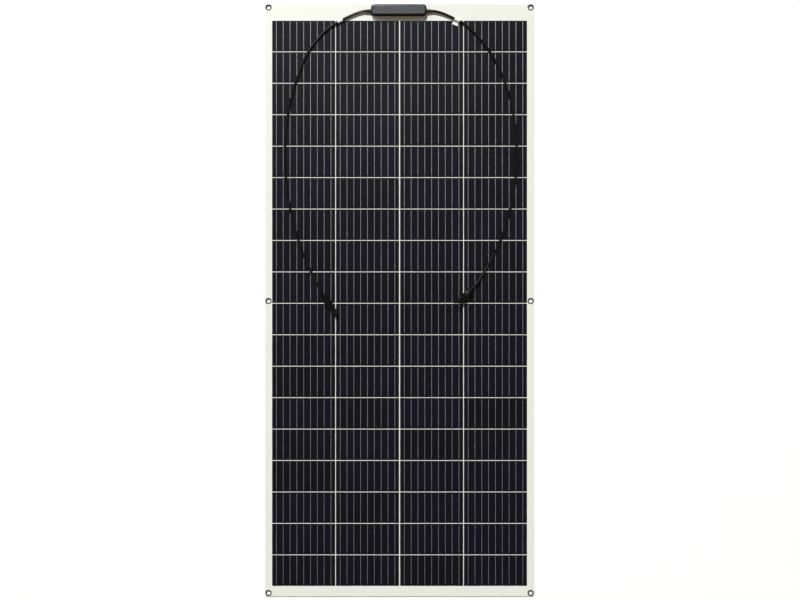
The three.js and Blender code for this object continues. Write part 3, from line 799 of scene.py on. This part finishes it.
# An eyelet's profile (height, radius) in millimetres, from its rear flange round.
EYELET_PROFILE = [
    (0, 5.3), (0, 7.4), (0.5, 7.5), (0.5, 5.65), (2.4, 5.65), (2.5, 7.7), (2.62, 7.95), (2.8, 7.95),
    (3.02, 7.5), (3.1, 6.9), (3.08, 6.2), (2.95, 5.6), (2.7, 5.15), (2.2, 5.0), (0.6, 5.0),
]
# Turns the axis of a lathed profile upright.
UPRIGHT = Matrix.Rotation(-math.pi / 2, 4, "Y")


def add_eyelets():
    """Rolled eyelets: a domed front flange, a barrel through the sheet and a flat rear flange."""
    profile = [(height * MM, radius * MM) for height, radius in EYELET_PROFILE]
    points = rounded(profile, 0.2 * MM, 2, closed=True)
    for node in EYELETS:
        centre = eyelet_centre(node)
        place = Matrix.Translation((centre.x, centre.y, 0)) @ UPRIGHT
        eyelet = Surface().lathe(points, place, 56, loop=True).made(f"{node}_ring", "eyelet")
        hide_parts(node)
        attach(eyelet, "sheet_" + node.split("_")[1])


# ---- Junction box

BOX_LOW, BOX_HIGH = low("junction_box_base"), high("junction_box_base")
BOX_CENTRE = (BOX_LOW + BOX_HIGH) / 2
BOX_LENGTH = BOX_HIGH.x - BOX_LOW.x
BOX_WIDTH = BOX_HIGH.y - BOX_LOW.y
BOX_RADIUS = 9 * MM
BOX_FLOOR = BOX_LOW.z + 1.5 * MM
# In millimetres, as the insets of the box's outline are.
BOX_WALL = 2.25
LID_LIP_WIDTH = 1.25


def box_loft(steps, loop=False):
    """A loft of the box's outline. steps are (inset in millimetres, height in metres)."""
    rings = []
    for inset, z in steps:
        size = (BOX_LENGTH - 2 * inset * MM, BOX_WIDTH - 2 * inset * MM, BOX_RADIUS - inset * MM)
        rings.append([(x, y, z) for x, y in rounded_rectangle(BOX_CENTRE.xy, *size, 12)])
    return Surface().loft(rings, loop=loop)


def above(z, steps):
    """Steps whose heights are millimetres above z."""
    return [(inset, z + up * MM) for inset, up in steps]


# The seal's section: (inset, height over the base) in millimetres.
SEAL_SECTION = [(0.6, 0), (0.5, 0.2), (0.6, 0.4), (0.9, 0.5), (1.4, 0.5), (1.65, 0.4), (1.75, 0.2), (1.65, 0)]


def add_box_shell():
    """The tape under the box, the open base, and the seal on its rim."""
    bottom, top = BOX_LOW.z, BOX_HIGH.z
    pad_low, pad_high = low("junction_box_pad").z, high("junction_box_pad").z
    pad_steps = [(1.15, pad_low), (1, (pad_low + pad_high) / 2), (1.15, pad_high)]
    pad = box_loft(pad_steps).made("box_tape", "foam")
    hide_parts("junction_box_pad")

    outside = above(bottom, [(0.4, 0), (0.1, 0.15), (0, 0.5), (0, 2), (0.25, 2.3)])
    rim = above(top, [(0.35, -0.4), (0.45, -0.12), (0.7, 0), (BOX_WALL - 0.3, 0), (BOX_WALL, -0.4)])
    inside = above(BOX_FLOOR, [(BOX_WALL + 0.05, 0.6), (BOX_WALL + 0.25, 0.15), (BOX_WALL + 0.8, 0),
                               (BOX_WALL + 1.4, 0)])
    base = box_loft(outside + rim + inside).made("box_base", "box")
    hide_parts("junction_box_base")

    seal = box_loft(above(top, SEAL_SECTION), loop=True).made("box_seal", "rubber")
    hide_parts("junction_box_seal")
    for piece in (pad, base, seal):
        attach(piece, "sheet_top")


# The lid's outer face from its lower edge: side, rounded edge, rim, and the recess that holds the panel.
# Like the panel's, it is (inset, height from the lid's top) in millimetres.
LID_FACE = [(0.35, -2.98), (0.05, -2.75), (0, -2.4), (0, -1.3), (0.1, -0.85), (0.35, -0.5), (0.75, -0.28),
            (1.2, -0.22), (1.5, -0.22), (1.7, -0.35), (1.75, -0.8), (5, -0.8)]
# The glossy panel's side and rounded edge.
PANEL_FACE = [(2.2, -1), (2.2, -0.6), (2.35, -0.35), (2.7, -0.15), (3.3, -0.04), (4.2, 0), (6.5, 0)]
# Places from the box's centre, and profiles (height, radius), of the marks moulded in the panel.
LID_DOTS = [(26.9, -4.4), (39.8, -2.6), (50.9, -3.9), (59.8, 0.2), (64.4, -6.7)]
LID_BOSS = (-63.5, 3.2)
DOT_PROFILE = [(-0.2, 1.1), (0.16, 1.0), (0.2, 0.7), (0.02, 0.45)]
BOSS_PROFILE = [(-0.3, 3.1), (0.0, 3.0), (0.35, 2.5), (0.38, 2.0), (-0.1, 1.2)]


def add_lid():
    """The lid: a matt frame with a lip below, and a glossy panel with a round boss and small dots."""
    bottom, top = high("junction_box_seal").z, high("junction_box_lid").z
    lip_bottom = low("junction_box_lid").z
    lip = BOX_WALL + 0.3
    back = lip + LID_LIP_WIDTH
    steps = above(top, [(back + 0.6, -1.5), (back, -1.5)])
    steps += above(lip_bottom, [(back, 0.2), (back - 0.2, 0), (lip + 0.2, 0), (lip, 0.2)]) + [(lip, bottom)]
    frame_piece = box_loft(steps + above(top, LID_FACE)).made("box_lid", "box", sharp=30)
    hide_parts("junction_box_lid")
    panel = box_loft(above(top, PANEL_FACE))
    dot, boss = in_mm(DOT_PROFILE, 0.08), in_mm(BOSS_PROFILE)
    for (x, y), profile, sides in [(spot, dot, 20) for spot in LID_DOTS] + [(LID_BOSS, boss, 32)]:
        place = Matrix.Translation((BOX_CENTRE.x + x * MM, BOX_CENTRE.y + y * MM, top)) @ UPRIGHT
        panel.lathe(profile, place, sides)
    for piece in (frame_piece, panel.made("box_lid_panel", "lid", sharp=30)):
        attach(piece, "junction_box_lid")


def rectangle(x0, x1, y0, y1, radius):
    """Points round a rectangle with round corners, in metres. The rectangle is given in millimetres."""
    centre = ((x0 + x1) / 2 * MM, (y0 + y1) / 2 * MM)
    return rounded_rectangle(centre, (x1 - x0) * MM, (y1 - y0) * MM, radius * MM, 3)


# A terminal's foot, tab and block: an outline's sides and corner radius, bottom, top and edge radius, in mm.
TERMINAL_PARTS = [
    ((-6, 6, 0.1, 8, 1), 0, 1, 0.2),
    ((-3, 3, 0.05, 1.4, 0.3), 0.2, 4.5, 0.25),
    ((-4, 4, 4, 8, 0.5), 0.2, 4, 0.3),
]
# The screw's head is two halves of a disk, beside its slot, on a wider disk.
SCREW_PLACE = (0, 6, 4)
SCREW_DISK_RADIUS = 1.75
SCREW_HEAD_RADIUS = 1.7
SCREW_HEAD_TURNS = range(-78, 79, 13)


def add_terminal(name):
    """A bent brass plate with a soldering tab and a screw clamp."""
    node = f"terminal_{name}"
    corner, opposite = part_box(node)
    place = Matrix.Translation(((corner.x + opposite.x) / 2, corner.y, corner.z))
    surface = Surface()
    for outline, bottom, top, edge in TERMINAL_PARTS:
        surface.prism(rectangle(*outline), bottom * MM, top * MM, edge * MM, place)
    plate = surface.made(f"{node}_plate", "brass")
    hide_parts(node)

    centre = place @ Matrix.Translation(Vector(SCREW_PLACE) * MM)
    screw = Surface().prism(circle((0, 0), SCREW_DISK_RADIUS * MM, 32), -0.3 * MM, 0.3 * MM, 0, centre)
    radius = SCREW_HEAD_RADIUS * MM
    for side in (1, -1):
        angles = [math.radians(side * 90 + turn) for turn in SCREW_HEAD_TURNS]
        half = [(radius * math.cos(angle), radius * math.sin(angle)) for angle in angles]
        screw.prism(half, 0.2 * MM, 0.8 * MM, 0.1 * MM, centre)
    screw = screw.made(f"{node}_screw", "tin")
    for piece in (plate, screw):
        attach(piece, "sheet_top")


# A diode's body and its printed band: (distance from its middle, radius) in millimetres.
DIODE_PROFILE = [(-4.8, 1.4), (-4.8, 2.4), (4.8, 2.4), (4.8, 1.4)]
BAND_PROFILE = [(2.5, 2.1), (2.5, 2.5), (3.7, 2.5), (3.7, 2.1)]
# Places (distance from its middle, height) along either wire, in millimetres, before its end.
DIODE_WIRE = [(3, 0), (10.6, 0), (12.2, -0.5), (12.9, -1.6)]
DIODE_WIRE_END = -2.5
DIODE_WIRE_RADIUS = 0.55


def add_diode(side):
    """An axial diode whose wires are bent down to the terminals' feet."""
    node = f"bypass_diode_{side}"
    corner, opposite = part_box(node)
    centre = (corner + opposite) / 2
    reach = (opposite.x - corner.x) / 2 / MM
    place = Matrix.Translation(centre)
    body = Surface().lathe(in_mm(DIODE_PROFILE, 0.5, 4), place, 36)
    for end in (-1, 1):
        bend = [*DIODE_WIRE, (reach - 0.5, DIODE_WIRE_END)]
        line = evenly(through([Vector((x * end, 0, z)) * MM for x, z in bend], 8), 0.6 * MM)
        body.loft(upright_rings(line, DIODE_WIRE_RADIUS * MM, 16), place)
    body = body.made(f"{node}_body", "diode")
    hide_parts(node)
    band = Surface().lathe(in_mm(BAND_PROFILE, 0.1), place, 36, loop=True).made(f"{node}_band", "band")
    for piece in (body, band):
        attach(piece, "sheet_top")


def upright_rings(line, radius, sides):
    """Rings of a wire that bends in the plane of X and Z."""
    rings = []
    for i, point in enumerate(line):
        side = Vector((0, 1, 0))
        up = direction(line, i).cross(side)
        rings.append([point + side * y + up * z for y, z in circle((0, 0), radius, sides)])
    return rings


# A strain relief's profile is (distance out from the box's wall, radius) in millimetres: a flange inside
# the wall, a neck, a collar, ribs that get lower, and a plain end.
RELIEF_ROOT = [(-4.75, 3.0), (-4.75, 4.2), (-2.55, 4.2), (-2.55, 3.5), (0.25, 3.5), (0.25, 4.6), (2, 4.6)]
RELIEF_END = [(13.5, 3.55), (14, 3.4), (14, 3.0)]
RELIEF_RIBS = 7
RELIEF_RIB_START = 2.3
RELIEF_PITCH = 1.55
# Places along the lead inside the right-hand half of the box, from the wall, and along its bare end.
INNER_LEAD = [(-3, 0, 0), (-9, 0.1, 0), (-17, 1.2, -0.7), (-22.5, 3.2, -1.9), (-25.5, 3.8, -2.4)]
INNER_STRAND = [(-24.5, 3.8, -2.4), (-29.5, 3.8, -2.4)]


def add_strain_relief(side):
    """A tapered rubber plug with ribs round it, and the inner lead behind it."""
    node = f"strain_relief_{side}"
    corner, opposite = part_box(node)
    centre = (corner + opposite) / 2
    wall = BOX_HIGH.x if side == "right" else BOX_LOW.x
    turn = Matrix.Rotation(0 if side == "right" else math.pi, 4, "Z")
    place = Matrix.Translation((wall, centre.y, centre.z)) @ turn
    profile = RELIEF_ROOT[:]
    for k in range(RELIEF_RIBS):
        x = RELIEF_RIB_START + k * RELIEF_PITCH
        crest = 4.45 - 0.12 * k
        profile += [(x, crest - 0.55), (x + 0.6, crest - 0.55), (x + 0.75, crest), (x + 1.3, crest)]
    points = in_mm(profile + RELIEF_END, 0.15, closed=True)
    relief = Surface().lathe(points, place, 40, loop=True).made(f"{node}_boot", "rubber")
    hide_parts(node)

    line = turned(INNER_LEAD, place, side)
    jacket = tube(evenly(through(line, 10), 1 * MM), 2 * MM, 24).made(f"inner_lead_{side}", "cable")
    bare = turned(INNER_STRAND, place, side)
    strand = tube(evenly(bare, 1 * MM), 1.2 * MM, 16).made(f"inner_strand_{side}", "copper")
    for piece, slot in ((relief, "rubber"), (jacket, "cable"), (strand, "terminal")):
        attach(piece, "sheet_top")


def turned(points, place, side):
    """Points in the right-hand half of the box, or their mirror images in the left-hand half."""
    mirror = 1 if side == "right" else -1
    return [place @ (Vector((x, mirror * y, z)) * MM) for x, y, z in points]


def add_box():
    """The junction box and what it holds, and the looks of the ribbons and cover strips."""
    add_box_shell()
    add_lid()
    for name in ("plus", "middle", "minus"):
        add_terminal(name)
    for side in SIDES:
        add_diode(side)
        add_strain_relief(side)
    for name, look in (("bus_ribbon", "ribbon"), ("cover_strip", "strip")):
        for node, shown in frame["nodes"].items():
            if node.startswith(name):
                shown.material_slots[0].link = "OBJECT"
                shown.material_slots[0].material = LOOKS[look]


# ---- Labels

# The label's middle, counted in the spans of its lead's route.
LABEL_STATIONS = {"left": 4.45, "right": 5.33}
LABEL_LENGTH = 15.5 * MM
LABEL_STEP = 1.1 * MM
# In millimetres, as the label's section is.
LABEL_RADIUS = 3.8
LABEL_TAIL = 13.5
LABEL_LIFT = 0.9
LABEL_FOLD = 5


def label_section():
    """The label's cut end in millimetres: round the cable, with a flat tail to its right."""
    arc = [math.radians(-90 - turn) for turn in range(0, 296, 12)]
    points = [(LABEL_RADIUS * math.cos(angle), LABEL_RADIUS * math.sin(angle)) for angle in arc]
    points += [(4.0, -2.5), (4.9, -3.2), (6.4, -3.5)]
    points += [(x, -3.5) for x in (8, 10, 12, LABEL_TAIL)]
    points += [(x, -LABEL_RADIUS) for x in (LABEL_TAIL, 12, 10, 8, 5, 2.5)]
    return points


def add_label(side):
    """A blank flag label, whose tail curls up a little at its far corner."""
    line = route(side)
    middle = round(LABEL_STATIONS[side] * SPAN_STEPS)
    centre = line[middle]
    beside = line[middle - SPAN_STEPS:middle + SPAN_STEPS]
    near = evenly([point for point in beside if (point - centre).length < LABEL_LENGTH], LABEL_STEP)
    near = [point for point in near if (point - centre).length <= LABEL_LENGTH / 2]
    count = len(near) - 1

    def curled(i, section):
        lift = LABEL_LIFT * (i / count) ** 2
        return [(x * MM, (z + lift * max(0, (x - LABEL_FOLD) / LABEL_TAIL) ** 2) * MM) for x, z in section]

    label = sweep(near, label_section(), curled).made(f"lead_label_{side}", "label")
    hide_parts(f"cable_label_{side}")
    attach(label, "sheet_top")
    return label


# ---- Connectors

# Profiles are (distance from the nut's rear end, radius) in millimetres, and angles are in degrees.
CONNECTOR_ANGLES = {"left": -56, "right": -131.5}
NUT_APOTHEM = 7.53
NUT_RADIUS = 8
NUT_RIBS = (2.4, 13)
NUT_FLAT_ANGLE = 13
NUT_PROFILE = [
    (0, 4.2), (0, 5.9), (0.5, 6.6), (1.6, 7.9), (2.3, 8), (2.5, 8), (12.9, 8), (13.1, 8), (14.5, 7.9),
    (15, 7.3), (15, 6.4), (3.2, 6.3), (3, 3.6), (0.4, 3.6),
]
# The start of either housing's profile: the stub inside the nut, and the collar in front of it.
COLLAR = [(4.5, 5.4), (4.8, 5.9), (15.35, 5.9), (15.45, 8.3), (15.9, 8.8), (16.5, 9), (20.7, 9), (21.3, 8.7)]
COLLAR_RADIUS = 9
COLLAR_RIBS = (16.4, 20.8)
NOSE_PROFILE = COLLAR + [
    (22, 8.2), (29.4, 8.2), (29.6, 8.2), (36.1, 8.2), (36.3, 8.2), (37.5, 8.2), (38.2, 7.9), (38.6, 6.9),
    (39, 6.2), (49.5, 6.2), (49.9, 5.5), (52.3, 5.5), (52.7, 6.2), (57.6, 6.2), (58.6, 6), (59, 5.5),
    (59, 2.4), (58.7, 2), (40.2, 2),
]
NOSE_WINDOW = (29.5, 36.2)
NOSE_WINDOW_RADIUS = 6.9
NOSE_WINDOW_ANGLE = 24
FORK_PROFILE = COLLAR + [
    (22, 8.4), (37.6, 8.4), (38.6, 8.1), (39, 7.6), (39, 6.9), (38.7, 6.6), (27, 6.6), (27, 4.2),
    (38.6, 4.2), (39, 3.8), (39, 2.3), (38.7, 2), (30.2, 2),
]
FORK_ARM = [(34, 6.9), (55, 6.4), (56, 6.9), (52, 8.9), (50.5, 8.9), (50.5, 8.2), (34, 8.2)]
SOCKET_PROFILE = [(40.3, 1.45), (40.5, 1.6), (56.6, 1.6), (57, 1.4), (57, 0.95), (48, 0.9)]
PIN_PROFILE = [(30.3, 1.45), (30.5, 1.6), (36.2, 1.6), (37.3, 1.3), (37.8, 0.9), (38, 0.4)]
SEAL_RING_CENTRE = (51.1 * MM, 5.7 * MM)
SEAL_RING_RADIUS = 0.55 * MM


def sixfold(angle):
    """Angle from the middle of the nearest of six flats."""
    return (angle + math.pi / 6) % (math.pi / 3) - math.pi / 6


def between(along, ends):
    """True if a distance in metres lies between ends given in millimetres."""
    return ends[0] * MM < along < ends[1] * MM


def rib_depth(depth, count, angle):
    """Depth below the ribs' crests, with count ribs all round."""
    return depth * (0.5 - 0.5 * math.cos(count * angle))


def nut_limit(along, angle):
    """A hexagon, with grip ribs near its corners."""
    from_flat = sixfold(angle)
    flat = NUT_APOTHEM / math.cos(from_flat)
    ribbed = between(along, NUT_RIBS) and abs(from_flat) > math.radians(NUT_FLAT_ANGLE)
    return (min(flat, NUT_RADIUS) - (rib_depth(0.25, 36, angle) if ribbed else 0)) * MM


def collar_ribs(along, angle):
    """Grip ribs round the collar."""
    return (COLLAR_RADIUS - (rib_depth(0.4, 30, angle) if between(along, COLLAR_RIBS) else 0)) * MM


def nose_limit(along, angle):
    """Ribs round the collar, and two windows for the latches in the body's sides."""
    beside = abs(math.sin(angle)) < math.sin(math.radians(NOSE_WINDOW_ANGLE))
    window = between(along, NOSE_WINDOW) and beside
    return NOSE_WINDOW_RADIUS * MM if window else collar_ribs(along, angle)


def exact(profile):
    """A profile written in millimetres, with its corners kept, in metres."""
    return [Vector(point) * MM for point in profile]


def fork_surface(place):
    surface = Surface().lathe(exact(FORK_PROFILE), place, 120, limit=collar_ribs)
    for side in (1, -1):
        arm = [(x * MM, side * y * MM) for x, y in FORK_ARM]
        surface.prism(arm, -2.4 * MM, 2.4 * MM, 0.25 * MM, place)
    return surface


def add_connector(side):
    """A plug connector: its nut, its housing and its contact. Returns its pieces."""
    origin = Vector(CABLE_ROUTES[side][-2]) * MM
    place = Matrix.Translation(origin) @ Matrix.Rotation(math.radians(CONNECTOR_ANGLES[side]), 4, "Z")
    nut = Surface().lathe(exact(NUT_PROFILE), place, 180, loop=True, limit=nut_limit)
    nut = nut.made(f"plug_{side}_nut", "connector", sharp=30)
    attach(nut, f"connector_{side}_nut")
    if side == "left":
        nose = Surface().lathe(exact(NOSE_PROFILE), place, 120, limit=nose_limit)
        housing = nose.made("plug_left_housing", "connector", sharp=30)
        contact = Surface().lathe(in_mm(SOCKET_PROFILE, 0.05), place, 32)
        ring = circle(SEAL_RING_CENTRE, SEAL_RING_RADIUS, 12)
        seal = Surface().lathe(ring, place, 64, loop=True).made("plug_left_seal_ring", "rubber")
        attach(seal, "sheet_middle")
        extra = [seal]
    else:
        housing = fork_surface(place).made("plug_right_housing", "connector", sharp=30)
        contact = Surface().lathe(in_mm(PIN_PROFILE, 0.1), place, 32)
        extra = []
    contact = contact.made(f"plug_{side}_contact", "tin")
    for piece in (housing, contact):
        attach(piece, "sheet_middle")
    parts = [(nut, "nut", "connector"), (housing, "housing", "connector"), (contact, "contact", "contact")]
    for piece, name, slot in parts:
        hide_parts(f"connector_{side}_{name}")
    return [nut, housing, contact, *extra]


# ---- The whole object

def add_lead(side):
    cable = add_cable(side)
    add_label(side)
    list(add_connector(side))


FLOOR_REACH = 9
FLOOR_DEPTH = 0.3 * MM


def add_floor():
    """A plain white floor a little below the sheet."""
    signs = [(-1, -1), (1, -1), (1, 1), (-1, 1)]
    corners = [(FLOOR_REACH * x, FLOOR_REACH * y, -FLOOR_DEPTH) for x, y in signs]
    mesh = bpy.data.meshes.new("floor")
    mesh.from_pydata(corners, [], [(0, 1, 2, 3)])
    look = Look("floor_paint", (0.96, 0.96, 0.96), 0.9, stored=False)
    look.set("Base Color", look.blend(look.noise(0.4), (0.955, 0.955, 0.955), (0.97, 0.97, 0.97)))
    look.set("Specular IOR Level", 0.1)
    mesh.materials.append(look.material)
    floor = bpy.data.objects.new("floor", mesh)
    bpy.context.scene.collection.objects.link(floor)


for lead_side in SIDES:
    add_lead(lead_side)
add_sheet()
add_eyelets()
add_box()
add_floor()
